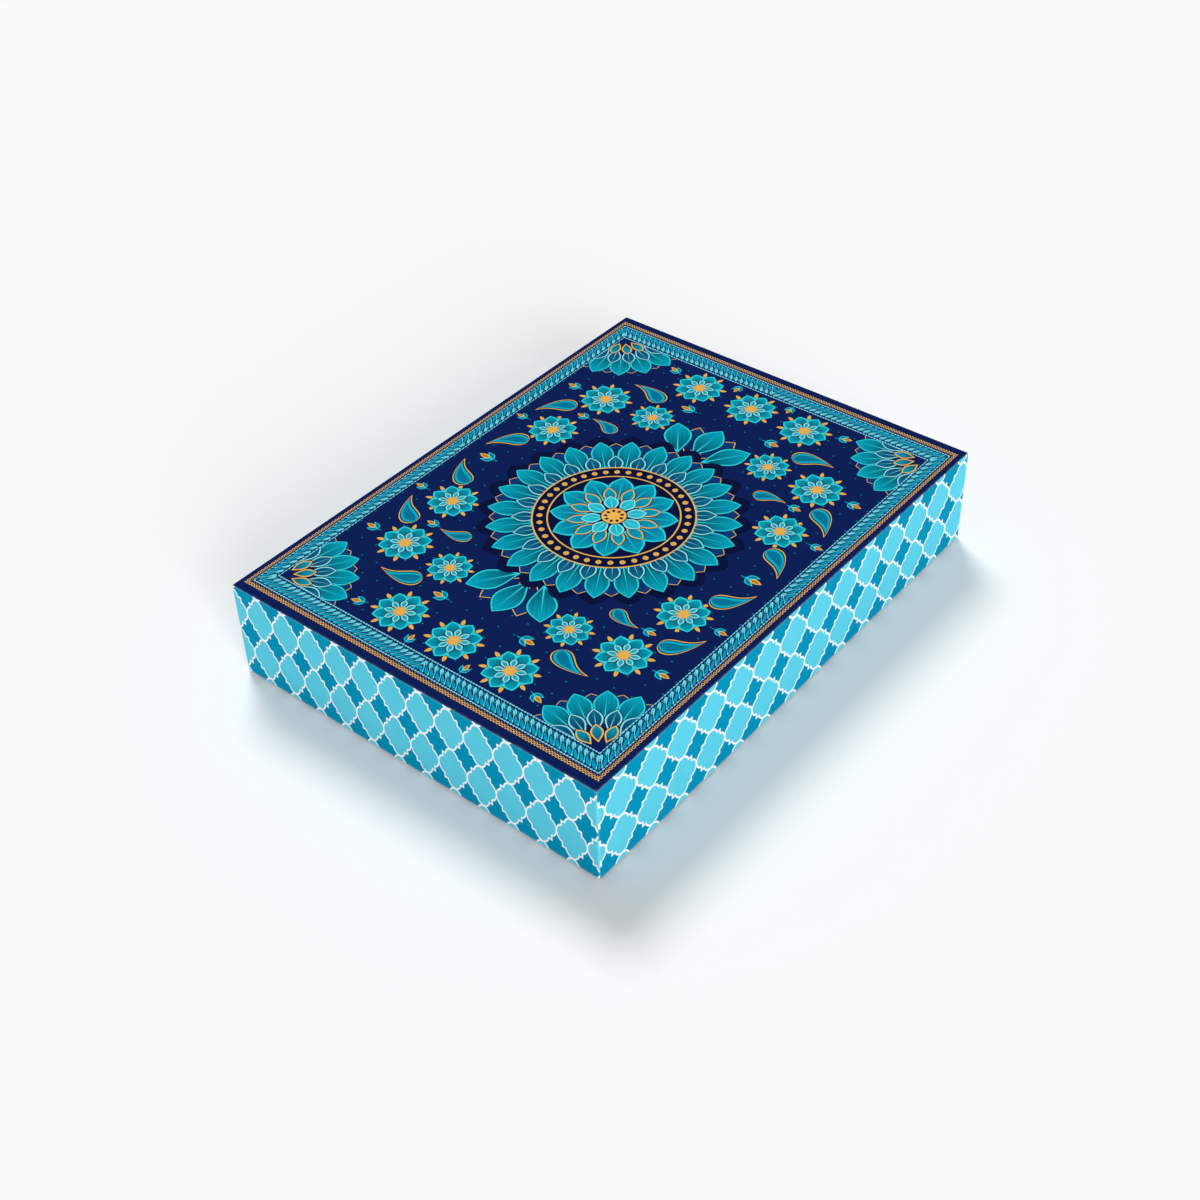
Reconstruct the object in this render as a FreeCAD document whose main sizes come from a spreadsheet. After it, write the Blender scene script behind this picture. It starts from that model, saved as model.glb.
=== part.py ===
"""Wrapped rigid sweet box: a deep lift-off lid over a tray with a slotted card divider.

Frame: the origin is the middle of the underside, +X runs along the long side, +Z is up.
The front is the long side at -Y. All sizes are in millimetres.
"""
import FreeCAD, Part
import os

import Sketcher

# Number of divider strips each way, which makes 3 x 4 compartments
STRIPS_ALONG = 2
STRIPS_ACROSS = 3

# Driving sizes: name, value, what it is
SIZES = [
    ("box_length", 241, "outside length of the lid"),
    ("box_width", 178, "outside width of the lid"),
    ("box_height", 44, "table to the top of the closed lid"),
    ("edge_radius", 1.0, "outside radius of the wrapped edges"),
    ("board", 1.5, "greyboard thickness"),
    ("paper", 0.2, "thickness of wrap and liner paper"),
    ("film", 0.1, "paste film under each paper"),
    ("tape", 0.06, "thickness of the corner tape, which lies in the paste film"),
    ("tape_leg", 14, "reach of the corner tape along each wall"),
    ("skirt_reveal", 1.0, "lower edge of the lid above the table"),
    ("lid_fit", 0.8, "gap between the lid's lining and the tray, each side"),
    ("turn_in", 12, "depth of the wrap turned in over an edge"),
    ("turn_under", 15, "reach of the tray wrap under the floor"),
    ("bottom_inset", 2, "bottom paper to the edge of the tray"),
    ("strip", 1.2, "divider card thickness"),
    ("strip_headroom", 9.5, "rim of the tray down to the top of the divider"),
    ("strip_play", 0.3, "gap between a strip's end and the tray's lining"),
    ("slot_play", 0.3, "spare width and depth of a divider slot"),
    ("mouth_flare", 0.8, "widening of a slot at its mouth, each side"),
    ("mouth_depth", 2.5, "depth over which a slot's mouth narrows to its width"),
]

# Sizes that follow from the driving ones
FITS = [
    ("skin", "=paper + film", "paper with its paste"),
    ("board_radius", "=edge_radius - skin", "outside radius of the board corners"),
    ("tape_middle", "=(film + tape) / 2", "outer face of the tape from the boards"),
    ("lid_board_length", "=box_length - 2 * skin", "boards of the lid, outside"),
    ("lid_board_width", "=box_width - 2 * skin", "boards of the lid, outside"),
    ("lid_inner_length", "=lid_board_length - 2 * board", "between the lid's walls"),
    ("lid_inner_width", "=lid_board_width - 2 * board", "between the lid's walls"),
    ("lid_lined_length", "=lid_inner_length - 2 * skin", "between the lid's linings"),
    ("lid_lined_width", "=lid_inner_width - 2 * skin", "between the lid's linings"),
    ("lid_wall_bottom", "=skirt_reveal + skin", "lower edge of the lid's walls"),
    ("lid_wall_top", "=box_height - skin - board", "underside of the top board"),
    ("lid_wall_height", "=lid_wall_top - lid_wall_bottom", "height of the lid's walls"),
    ("lid_lip_top", "=skirt_reveal + turn_in", "upper edge of the lid's turn-in"),
    ("rim", "=lid_wall_top - skin", "rim of the tray, on which the top liner rests"),
    ("tray_length", "=lid_lined_length - 2 * lid_fit", "outside length of the wrapped tray"),
    ("tray_width", "=lid_lined_width - 2 * lid_fit", "outside width of the wrapped tray"),
    ("tray_board_length", "=tray_length - 2 * skin", "boards of the tray, outside"),
    ("tray_board_width", "=tray_width - 2 * skin", "boards of the tray, outside"),
    ("tray_inner_length", "=tray_board_length - 2 * board", "between the tray's walls"),
    ("tray_inner_width", "=tray_board_width - 2 * board", "between the tray's walls"),
    ("tray_lined_length", "=tray_inner_length - 2 * skin", "between the tray's linings"),
    ("tray_lined_width", "=tray_inner_width - 2 * skin", "between the tray's linings"),
    ("wrap_bottom", "=skin", "underside of the turn-under, over the bottom paper"),
    ("floor_bottom", "=wrap_bottom + skin", "underside of the floor board"),
    ("tray_wall_bottom", "=floor_bottom + board", "top of the floor board"),
    ("tray_wall_height", "=rim - skin - tray_wall_bottom", "height of the tray's walls"),
    ("tray_lip_bottom", "=rim - turn_in", "lower edge of the tray's turn-in"),
    ("floor_top", "=tray_wall_bottom + skin", "top of the floor liner"),
    ("strip_height", "=rim - strip_headroom - floor_top", "height of the divider"),
    ("slot_width", "=strip + slot_play", "width of a divider slot"),
    ("slot_depth", "=(strip_height + slot_play) / 2", "depth of a divider slot"),
    ("cross_pitch", f"=(tray_lined_length + strip) / {STRIPS_ACROSS + 1}", "spacing of the cross strips"),
    ("long_pitch", f"=(tray_lined_width + strip) / {STRIPS_ALONG + 1}", "spacing of the long strips"),
]

doc = FreeCAD.newDocument("sweet_box")
dims = doc.addObject("Spreadsheet::Sheet", "dims")
for row, (alias, value, note) in enumerate(SIZES + FITS, start=1):
    dims.set(f"A{row}", alias)
    dims.set(f"B{row}", str(value))
    dims.setAlias(f"B{row}", alias)
    dims.set(f"C{row}", note)
doc.recompute()


def bind(item, path, formula):
    """Binds one property to a formula of sheet names, such as 'rim - turn_in'."""
    words = formula.replace("(", " ( ").replace(")", " ) ").split()
    item.setExpression(path, " ".join("dims." + w if w[0].isalpha() else w for w in words))


def put(item, path, place):
    """Binds the x, y and z of a placement."""
    for axis, formula in zip("xyz", place):
        bind(item, f"{path}.Base.{axis}", formula)


def new_body(label, x="0", y="0", z="0"):
    """An empty body whose origin stands at a bound place."""
    body = doc.addObject("PartDesign::Body", label)
    body.Label = label
    put(body, "Placement", (x, y, z))
    return body


def origin_feature(body, role):
    """A plane or axis of a body's own origin."""
    return next(f for f in body.Origin.OriginFeatures if f.Role == role)


def new_sketch(body, x="0", y="0", z="0", plane="XY_Plane"):
    """A sketch on a plane of a body's origin, its centre at a bound place in that plane's own axes."""
    sketch = body.newObject("Sketcher::SketchObject", f"{body.Label}_sketch")
    sketch.AttachmentSupport = (origin_feature(body, plane), [""])
    sketch.MapMode = "FlatFace"
    put(sketch, "AttachmentOffset", (x, y, z))
    return sketch


def closed_outline(sketch, corners):
    """Adds straight sides through rough corners, joined end to end, and returns the first side's number."""
    first = sketch.GeometryCount
    points = [FreeCAD.Vector(x, y, 0) for x, y in corners]
    for start, end in zip(points, points[1:] + points[:1]):
        sketch.addGeometry(Part.LineSegment(start, end), False)
    for side in range(len(points)):
        following = (side + 1) % len(points)
        sketch.addConstraint(Sketcher.Constraint("Coincident", first + side, 2, first + following, 1))
    return first


def measure(sketch, kind, start, end, formula):
    """Binds the distance along X or Y between the starts of two sides, taken as they lie."""
    gap = sketch.getPoint(end, 1) - sketch.getPoint(start, 1)
    now = gap.x if kind == "DistanceX" else gap.y
    number = sketch.addConstraint(Sketcher.Constraint(kind, start, 1, end, 1, now))
    bind(sketch, f"Constraints[{number}]", formula)


def rectangle(sketch, length, width):
    """Adds a rectangle about the sketch's centre, both sides bound."""
    first = closed_outline(sketch, ((-2, -1), (2, -1), (2, 1), (-2, 1)))
    for side in range(4):
        sketch.addConstraint(Sketcher.Constraint("Vertical" if side % 2 else "Horizontal", first + side))
    sketch.addConstraint(Sketcher.Constraint("Symmetric", first, 1, first + 2, 1, -1, 1))
    measure(sketch, "DistanceX", first, first + 1, length)
    measure(sketch, "DistanceY", first + 1, first + 2, width)


def slot_outline(sketch, inward):
    """Adds a slot whose flared mouth lies on the sketch's centre, running up (1) or down (-1) from it."""
    rough = ((-3, 0), (3, 0), (2, inward), (2, 4 * inward), (-2, 4 * inward), (-2, inward))
    first = closed_outline(sketch, rough)
    mouth_end, neck_end, foot_end, foot, neck = range(first + 1, first + 6)
    sketch.addConstraint(Sketcher.Constraint("Symmetric", first, 1, mouth_end, 1, -1, 1))
    for left, right in ((neck, neck_end), (foot, foot_end)):
        sketch.addConstraint(Sketcher.Constraint("Symmetric", left, 1, right, 1, -2))
        measure(sketch, "DistanceX", left, right, "slot_width")
    sketch.addConstraint(Sketcher.Constraint("Horizontal", first))
    measure(sketch, "DistanceX", first, mouth_end, "slot_width + 2 * mouth_flare")
    measure(sketch, "DistanceY", first, neck, f"{inward} * mouth_depth")
    measure(sketch, "DistanceY", first, foot, f"{inward} * slot_depth")


def raise_up(body, sketch, height):
    """Pads a sketch upwards."""
    pad = body.newObject("PartDesign::Pad", f"{body.Label}_pad")
    pad.Profile = sketch
    bind(pad, "Length", height)
    doc.recompute()


def cut(body, sketch, depth, both_ways=False):
    """Pockets a sketch upwards, or evenly to both its sides, and makes sure that it took something away."""
    before = body.Shape.Volume
    pocket = body.newObject("PartDesign::Pocket", f"{body.Label}_pocket")
    pocket.Profile = sketch
    pocket.Reversed = True
    pocket.SideType = "Symmetric" if both_ways else "One side"
    bind(pocket, "Length", depth)
    doc.recompute()
    if body.Shape.Volume >= before:
        raise RuntimeError(f"{pocket.Label} cuts nothing")
    return pocket


def round_off(body, radius, chosen):
    """Fillets the edges of a body for which chosen(edge) is true."""
    base = body.Tip
    names = [f"Edge{n}" for n, edge in enumerate(base.Shape.Edges, start=1) if chosen(edge)]
    fillet = body.newObject("PartDesign::Fillet", f"{body.Label}_fillet")
    fillet.Base = (base, names)
    bind(fillet, "Radius", radius)
    doc.recompute()


def upright(edge):
    """True for an edge that stands along Z."""
    box = edge.BoundBox
    return box.ZLength > max(box.XLength, box.YLength)


def flat_panel(label, length, width, thickness, x="0", y="0", z="0"):
    """A flat panel of board or paper, its underside at z."""
    body = new_body(label, x, y, z)
    outline = new_sketch(body)
    rectangle(outline, length, width)
    raise_up(body, outline, thickness)
    return body


def top_board():
    """The lid's top panel, rounded at its corners and along its upper edges under the wrap."""
    body = flat_panel("lid_top_board", "lid_board_length", "lid_board_width", "board", z="lid_wall_top")
    low = body.Tip.Shape.BoundBox.ZMin
    round_off(body, "board_radius", lambda edge: edge.CenterOfMass.z > low + dims.board / 4)
    return body


def bottom_board():
    """The tray's floor panel, rounded at its corners under the wrap."""
    body = flat_panel("tray_bottom_board", "tray_board_length", "tray_board_width", "board", z="floor_bottom")
    round_off(body, "board_radius", upright)
    return body


def wall_boards(owner, bottom):
    """Four wall boards: the long two run to the corners, the short two stand between them."""
    height = f"{owner}_wall_height"
    boards = []
    for name, side in (("front", -1), ("back", 1)):
        wall = flat_panel(f"{owner}_{name}_wall", f"{owner}_board_length", "board", height,
                          y=f"{side} * ( {owner}_board_width - board ) / 2", z=bottom)
        round_off(wall, "board_radius", lambda edge: upright(edge) and edge.CenterOfMass.y * side > 0)
        boards.append(wall)
    for name, side in (("left", -1), ("right", 1)):
        boards.append(flat_panel(f"{owner}_{name}_wall", "board", f"{owner}_inner_width", height,
                                 x=f"{side} * ( {owner}_board_length - board ) / 2", z=bottom))
    return boards


def mirrored_pair(label, source, normal):
    """A compound of an object and its mirror image in a plane through the origin."""
    image = doc.addObject("Part::Mirroring", f"{label}_image")
    image.Source = source
    image.Normal = normal
    pair = doc.addObject("Part::Compound", label)
    pair.Label = label
    pair.Links = [source, image]
    doc.recompute()
    return pair


def corner_stays(owner, bottom):
    """Four tapes folded round the corners of the walls, midway in the paste film."""
    height = f"{owner}_wall_height"
    stay = new_body(f"{owner}_stay",
                    x=f"{owner}_board_length / 2 + tape_middle - tape_leg / 2",
                    y=f"{owner}_board_width / 2 + tape_middle - tape_leg / 2", z=bottom)
    outline = new_sketch(stay)
    rectangle(outline, "tape_leg", "tape_leg")
    raise_up(stay, outline, height)
    inside = new_sketch(stay, "-1 * tape", "-1 * tape")
    rectangle(inside, "tape_leg", "tape_leg")
    cut(stay, inside, height)
    outer = dims.tape_leg / 2
    for corner, radius in ((outer - dims.tape, "board_radius + tape_middle - tape"),
                           (outer, "board_radius + tape_middle")):
        round_off(stay, radius, lambda edge: upright(edge)
                  and abs(edge.CenterOfMass.x - corner) < dims.tape / 4
                  and abs(edge.CenterOfMass.y - corner) < dims.tape / 4)
    pair = mirrored_pair(f"{owner}_stay_pair", stay, FreeCAD.Vector(1, 0, 0))
    return mirrored_pair(f"{owner}_corner_stays", pair, FreeCAD.Vector(0, 1, 0))


def folded_wrap(label, length, width, bottom, top, roof):
    """One thickness of paper all round a box, with rounded upright folds, and rounded roof folds if asked."""
    body = new_body(label)
    outside = new_sketch(body, z=bottom)
    rectangle(outside, length, width)
    raise_up(body, outside, f"{top} - {bottom}")
    room = new_sketch(body, z=f"{bottom} + paper")
    rectangle(room, f"{length} - 2 * paper", f"{width} - 2 * paper")
    cut(body, room, f"{top} - {bottom} - 2 * paper")
    reach = body.Shape.BoundBox.XMax - dims.paper / 2
    middle = body.Shape.BoundBox.Center.z

    def fold(edge):
        return edge.BoundBox.ZMax > middle if roof else upright(edge)

    def inner(edge):
        return max(edge.BoundBox.XMax, -edge.BoundBox.XMin) < reach

    round_off(body, "edge_radius - paper", lambda edge: fold(edge) and inner(edge))
    round_off(body, "edge_radius", lambda edge: fold(edge) and not inner(edge))
    return body


def turn_in_lip(body, owner, bottom):
    """Adds the band of wrap that is turned in over an edge and pasted to the inside of the walls."""
    lip = new_sketch(body, z=bottom)
    rectangle(lip, f"{owner}_inner_length - 2 * film", f"{owner}_inner_width - 2 * film")
    rectangle(lip, f"{owner}_lined_length", f"{owner}_lined_width")
    raise_up(body, lip, "turn_in")


def open_sheet(body, length, width, bottom):
    """Cuts an opening through one level sheet of a wrap."""
    opening = new_sketch(body, z=bottom)
    rectangle(opening, length, width)
    cut(body, opening, "paper")


def lid_wrap():
    """Printed paper over the lid: top, four sides, the hem round the lower edge and the turn-in."""
    body = folded_wrap("lid_printed_wrap", "box_length", "box_width", "skirt_reveal", "box_height", True)
    turn_in_lip(body, "lid", "skirt_reveal")
    open_sheet(body, "lid_lined_length", "lid_lined_width", "skirt_reveal")
    return body


def tray_wrap():
    """Coloured paper round the tray: four sides, the turn-in over the rim and the turn-under."""
    body = folded_wrap("tray_side_wrap", "tray_length", "tray_width", "wrap_bottom", "rim", False)
    turn_in_lip(body, "tray", "tray_lip_bottom")
    open_sheet(body, "tray_lined_length", "tray_lined_width", "rim - paper")
    open_sheet(body, "tray_length - 2 * turn_under", "tray_width - 2 * turn_under", "wrap_bottom")
    return body


def flat_liner(owner, name, bottom):
    """A liner sheet that fills the space between four walls."""
    return flat_panel(f"{owner}_{name}_liner", f"{owner}_inner_length - 2 * film",
                      f"{owner}_inner_width - 2 * film", "paper", z=bottom)


def wall_liner(owner, bottom, top):
    """A band of liner paper round the inside of four walls, a paste film clear at both edges."""
    body = new_body(f"{owner}_wall_liner", z=f"{bottom} + film")
    outline = new_sketch(body)
    rectangle(outline, f"{owner}_inner_length - 2 * film", f"{owner}_inner_width - 2 * film")
    rectangle(outline, f"{owner}_lined_length", f"{owner}_lined_width")
    raise_up(body, outline, f"{top} - {bottom} - 2 * film")
    return body


def slotted_strips(name, count, pitch, along_x, length, slots, slot_pitch, from_top):
    """Parallel card strips on edge, each with a row of half-depth slots for the strips that cross it."""
    def plan(along, across):
        return (along, across) if along_x else (across, along)

    axis, side = ("X_Axis", "XZ_Plane") if along_x else ("Y_Axis", "YZ_Plane")
    strips = []
    for number in range(count):
        offset = f"{number - (count - 1) / 2} * {pitch}"
        body = new_body(f"crate_{name}_strip_{number + 1}", *plan("0", offset), "floor_top")
        outline = new_sketch(body)
        rectangle(outline, *plan(f"{length} - 2 * strip_play", "strip"))
        raise_up(body, outline, "strip_height")
        first_slot = new_sketch(body, f"{(1 - slots) / 2} * {slot_pitch}",
                                "strip_height" if from_top else "0", plane=side)
        slot_outline(first_slot, -1 if from_top else 1)
        pocket = cut(body, first_slot, "2 * strip", both_ways=True)
        row = body.newObject("PartDesign::LinearPattern", f"{body.Label}_slots")
        row.Originals = [pocket]
        row.Direction = (origin_feature(body, axis), [""])
        row.Occurrences = slots
        bind(row, "Length", f"{slots - 1} * {slot_pitch}")
        body.Tip = row
        doc.recompute()
        strips.append(body)
    return strips


lid = [
    top_board(),
    *wall_boards("lid", "lid_wall_bottom"),
    corner_stays("lid", "lid_wall_bottom"),
    lid_wrap(),
    flat_liner("lid", "top", "rim"),
    wall_liner("lid", "lid_lip_top", "rim"),
]
tray = [
    bottom_board(),
    *wall_boards("tray", "tray_wall_bottom"),
    corner_stays("tray", "tray_wall_bottom"),
    tray_wrap(),
    flat_panel("tray_bottom_paper",
               "tray_length - 2 * bottom_inset", "tray_width - 2 * bottom_inset", "paper"),
    flat_liner("tray", "floor", "tray_wall_bottom + film"),
    wall_liner("tray", "floor_top", "tray_lip_bottom"),
]
divider = [
    *slotted_strips("long", STRIPS_ALONG, "long_pitch", True, "tray_lined_length",
                    STRIPS_ACROSS, "cross_pitch", from_top=True),
    *slotted_strips("cross", STRIPS_ACROSS, "cross_pitch", False, "tray_lined_width",
                    STRIPS_ALONG, "long_pitch", from_top=False),
]
pieces = lid + tray + divider

doc.recompute()
for item in doc.Objects:
    if "Invalid" in item.State or "Error" in item.State:
        raise RuntimeError(f"{item.Label} failed: {item.State}")
for piece in pieces:
    if piece.Shape.isNull() or not piece.Shape.isValid():
        raise RuntimeError(f"{piece.Label} has no valid shape")

os.makedirs("parts", exist_ok=True)
for piece in pieces:
    piece.Shape.exportStep(os.path.join("parts", f"{piece.Label}.step"))
    box = piece.Shape.BoundBox
    print(f"{piece.Label}: {len(piece.Shape.Solids)} solid, "
          f"{box.XLength:.2f} x {box.YLength:.2f} x {box.ZLength:.2f}, from z {box.ZMin:.2f}")
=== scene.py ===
# %% [markdown]
# # Dressing a printed sweet box
#
# The frame is a set-up box: a tray, a lid that covers it all the way down and a loose card divider. The
# boards, papers and strips already have their true shapes, so they stay as they are and get finishes. The
# printed paper round the lid is made again here, because a print needs a sheet of its own to lie on.

# %% Load the frame
import math
from collections import namedtuple

import bmesh
import bpy
from mathutils import Matrix, Quaternion, Vector


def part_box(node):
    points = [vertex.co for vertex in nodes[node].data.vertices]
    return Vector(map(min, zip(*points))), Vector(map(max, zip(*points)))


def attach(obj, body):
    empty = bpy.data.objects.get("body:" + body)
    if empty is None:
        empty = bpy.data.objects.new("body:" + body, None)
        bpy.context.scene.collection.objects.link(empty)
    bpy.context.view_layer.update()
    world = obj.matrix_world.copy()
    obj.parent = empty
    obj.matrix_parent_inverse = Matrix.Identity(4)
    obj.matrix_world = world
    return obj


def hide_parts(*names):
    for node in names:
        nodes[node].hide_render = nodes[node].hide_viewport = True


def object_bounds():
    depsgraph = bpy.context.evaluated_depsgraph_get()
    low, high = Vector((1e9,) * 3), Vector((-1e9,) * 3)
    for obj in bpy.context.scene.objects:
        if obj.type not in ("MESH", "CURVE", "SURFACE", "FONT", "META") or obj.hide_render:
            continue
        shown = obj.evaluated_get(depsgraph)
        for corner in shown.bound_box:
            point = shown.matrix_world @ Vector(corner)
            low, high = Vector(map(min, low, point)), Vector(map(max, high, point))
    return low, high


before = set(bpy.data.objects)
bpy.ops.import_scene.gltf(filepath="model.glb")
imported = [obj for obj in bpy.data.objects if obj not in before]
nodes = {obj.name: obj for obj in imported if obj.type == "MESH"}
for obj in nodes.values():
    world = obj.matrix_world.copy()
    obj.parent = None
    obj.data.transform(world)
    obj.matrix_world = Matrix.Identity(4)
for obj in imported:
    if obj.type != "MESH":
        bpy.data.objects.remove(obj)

MM = 1000.0
cad_low, cad_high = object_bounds()
print("frame:", len(nodes), "nodes, box", [round(MM * side, 1) for side in cad_high - cad_low], "mm")

# %% [markdown]
# ## Inks and papers
#
# A printer thinks in inks, so every colour of the box has a name and is written once, as it would be
# picked on a screen. Blender's shaders count in linear light, so a small function turns the screen value
# into that.

# %% Name the inks
INKS = {
    "navy": (11, 30, 84),
    "deep navy": (7, 17, 56),
    "royal": (14, 62, 124),
    "teal": (4, 116, 150),
    "turquoise": (0, 178, 202),
    "cyan": (46, 212, 224),
    "ice": (150, 228, 238),
    "gold": (240, 184, 84),
    "dark gold": (176, 116, 40),
    "tile": (98, 211, 234),
    "tile gap": (0, 147, 186),
    "paper white": (250, 251, 250),
    "liner white": (236, 234, 228),
    "liner shade": (222, 219, 211),
    "greaseproof": (236, 230, 214),
    "greaseproof shade": (222, 212, 190),
    "greyboard": (139, 130, 119),
    "board fleck": (84, 78, 71),
    "kraft": (176, 138, 96),
    "kraft shade": (150, 112, 72),
    "tray blue": (8, 98, 138),
    "tray shade": (6, 88, 127),
    "card core": (168, 160, 148),
    "card white": (238, 237, 232),
}


def linear(byte):
    """A screen value from 0 to 255 as linear light from 0 to 1."""
    share = byte / 255
    return share / 12.92 if share <= 0.04045 else ((share + 0.055) / 1.055) ** 2.4


def ink(name):
    """The colour of an ink in linear light, with full opacity."""
    return (*[linear(byte) for byte in INKS[name]], 1.0)


print("inks:", len(INKS), "with navy in linear light", [round(share, 4) for share in ink("navy")[:3]])

# %% [markdown]
# ## Arithmetic that draws
#
# A print made of nodes is a sum: distances, angles and thresholds. Placing dozens of Math nodes by hand
# hides the idea, so a small class lets plain arithmetic place them. `depth - 0.4` adds one Subtract node
# and gives back a new reading.

# %% Readings and their arithmetic


def plug(value, socket):
    """Links a reading or a socket to an input, or writes a plain number or colour into it."""
    if isinstance(value, Reading):
        value = value.socket
    if isinstance(value, bpy.types.NodeSocket):
        socket.id_data.links.new(value, socket)
    else:
        socket.default_value = value


def placing(operation):
    """A method that places a Math node with the given operation."""
    return lambda reading, *others: reading.math(operation, *others)


class Reading:
    """A number or vector that varies over a surface. Arithmetic on it adds nodes to its tree."""

    __add__ = placing("ADD")
    __sub__ = placing("SUBTRACT")
    __mul__ = placing("MULTIPLY")
    __truediv__ = placing("DIVIDE")
    __abs__ = placing("ABSOLUTE")
    smaller = placing("MINIMUM")
    larger = placing("MAXIMUM")

    def __init__(self, socket):
        self.socket = socket
        self.tree = socket.id_data

    def __rsub__(self, other):
        return self.math("MULTIPLY_ADD", -1.0, other)

    def math(self, operation, *others, clamp=False):
        """Places a Math node on this reading and returns its result."""
        node = self.tree.nodes.new("ShaderNodeMath")
        node.operation = operation
        node.use_clamp = clamp
        for place, value in enumerate((self, *others)):
            plug(value, node.inputs[place])
        return Reading(node.outputs[0])

    def wrapped(self, low=-0.5, high=0.5):
        """The reading folded into one range that repeats."""
        return self.math("WRAP", high, low)

    def inked(self, feather):
        """1 where the reading is above 0, with an edge as soft as the feather."""
        return self.math("DIVIDE", feather, clamp=True)

    def waves(self, length):
        """A wave between 0 and 1 that repeats after the given length."""
        return (self * (2 * math.pi / length)).math("COSINE") * 0.5 + 0.5

    def scaled(self, scale):
        """A vector times a number."""
        node = self.tree.nodes.new("ShaderNodeVectorMath")
        node.operation = "SCALE"
        plug(self, node.inputs[0])
        plug(scale, node.inputs["Scale"])
        return Reading(node.outputs[0])

    def parts(self):
        """The three parts of a vector."""
        node = self.tree.nodes.new("ShaderNodeSeparateXYZ")
        plug(self, node.inputs[0])
        return [Reading(part) for part in node.outputs]


def distance(a, b):
    """How far the point a, b lies from the middle."""
    return (a * a + b * b).math("SQRT")


print("a reading knows:", [name for name in vars(Reading) if not name.startswith("_")])

# %% [markdown]
# A printer lays one ink over another. A Mix node does so with two colours, and with two numbers where a
# value changes from one place to the next. Its sockets lie side by side, so they are picked by place.

# %% Lay one ink over another
MIX_NUMBERS = {"kind": "FLOAT", "below": 2, "above": 3, "result": 0}
MIX_COLORS = {"kind": "RGBA", "below": 6, "above": 7, "result": 2}


def mixed(sockets, below, above, share):
    """Places a Mix node and returns the socket of its result."""
    node = share.tree.nodes.new("ShaderNodeMix")
    node.data_type = sockets["kind"]
    plug(share, node.inputs[0])
    plug(below, node.inputs[sockets["below"]])
    plug(above, node.inputs[sockets["above"]])
    return node.outputs[sockets["result"]]


def overprint(below, above, cover):
    """Lays one colour over another where the cover says so."""
    return mixed(MIX_COLORS, below, above, cover)


def blended(a, b, share):
    """A reading that goes from a to b as the share goes from 0 to 1."""
    return Reading(mixed(MIX_NUMBERS, a, b, share))


print("Mix nodes:", MIX_COLORS["kind"], "for inks and", MIX_NUMBERS["kind"], "for numbers")

# %% [markdown]
# Motifs and paper effects that appear more than once become node groups: built once, with named sockets,
# and placed wherever a finish needs them.

# %% Start and place node groups


def floats(*labels):
    """The sockets of plain numbers, by name."""
    return {label: "Float" for label in labels}


def start_group(name, inputs, outputs):
    """Makes a group and returns its tree, its inputs by name and its output sockets."""
    tree = bpy.data.node_groups.new(name, "ShaderNodeTree")
    for in_out, sockets in (("INPUT", inputs), ("OUTPUT", outputs)):
        for label, kind in sockets.items():
            tree.interface.new_socket(label, in_out=in_out, socket_type="NodeSocket" + kind)
    entry = tree.nodes.new("NodeGroupInput")
    leave = tree.nodes.new("NodeGroupOutput")
    readings = {label: Reading(entry.outputs[label]) for label in inputs}
    return tree, readings, leave.inputs


def place_group(tree, group, values):
    """Places a group in a tree and returns its outputs by name, as readings."""
    node = tree.nodes.new("ShaderNodeGroup")
    node.node_tree = group
    for label, value in values.items():
        plug(value, node.inputs[label])
    return {socket.name: Reading(socket) for socket in node.outputs}


print("sockets of a group are told as", floats("Depth", "Share"))

# %% [markdown]
# ## Leaf and petal outlines
#
# Leaves, petals and buds are one shape: a sine arch bent round a midrib. A power of 1 on the arch gives a
# pointed tip, a power of a half a round one. The group gives the depth inside the outline, so lines and
# rims of even width are only thresholds on it.

# %% Leaf outline group
MIDRIB_POWER = 3.0
leaf_group, leaf, leaf_out = start_group(
    "leaf_outline",
    floats("Across", "Along", "Length", "Width", "Bend", "Fullness", "Tip"),
    floats("Depth", "Share"),
)
leaf_share = leaf["Along"].math("DIVIDE", leaf["Length"], clamp=True)
leaf_over = abs(leaf["Along"] - leaf_share * leaf["Length"])
leaf_off = abs(leaf["Across"] - leaf_share.math("POWER", MIDRIB_POWER) * leaf["Bend"])
leaf_wave = (leaf_share.math("POWER", leaf["Fullness"]) * math.pi).math("SINE")
leaf_arch = leaf_wave.larger(0.0).math("POWER", leaf["Tip"])
plug(leaf_arch * leaf["Width"] - leaf_off - leaf_over, leaf_out["Depth"])
plug(leaf_share, leaf_out["Share"])

LeafShape = namedtuple("LeafShape", "length width fullness tip bend", defaults=(0.0,))


def place_leaf(across, along, shape):
    """Places a leaf and returns its readings: the depth inside it and the share along it."""
    sizes = {label.title(): value for label, value in shape._asdict().items()}
    return place_group(across.tree, leaf_group, {"Across": across, "Along": along, **sizes})


print("group:", leaf_group.name, len(leaf_group.nodes), "nodes")

# %% [markdown]
# A flower is one petal repeated round a middle. This group folds the plane into equal sectors and draws
# one petal in each, which makes a whole flower at the price of one petal.

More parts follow.
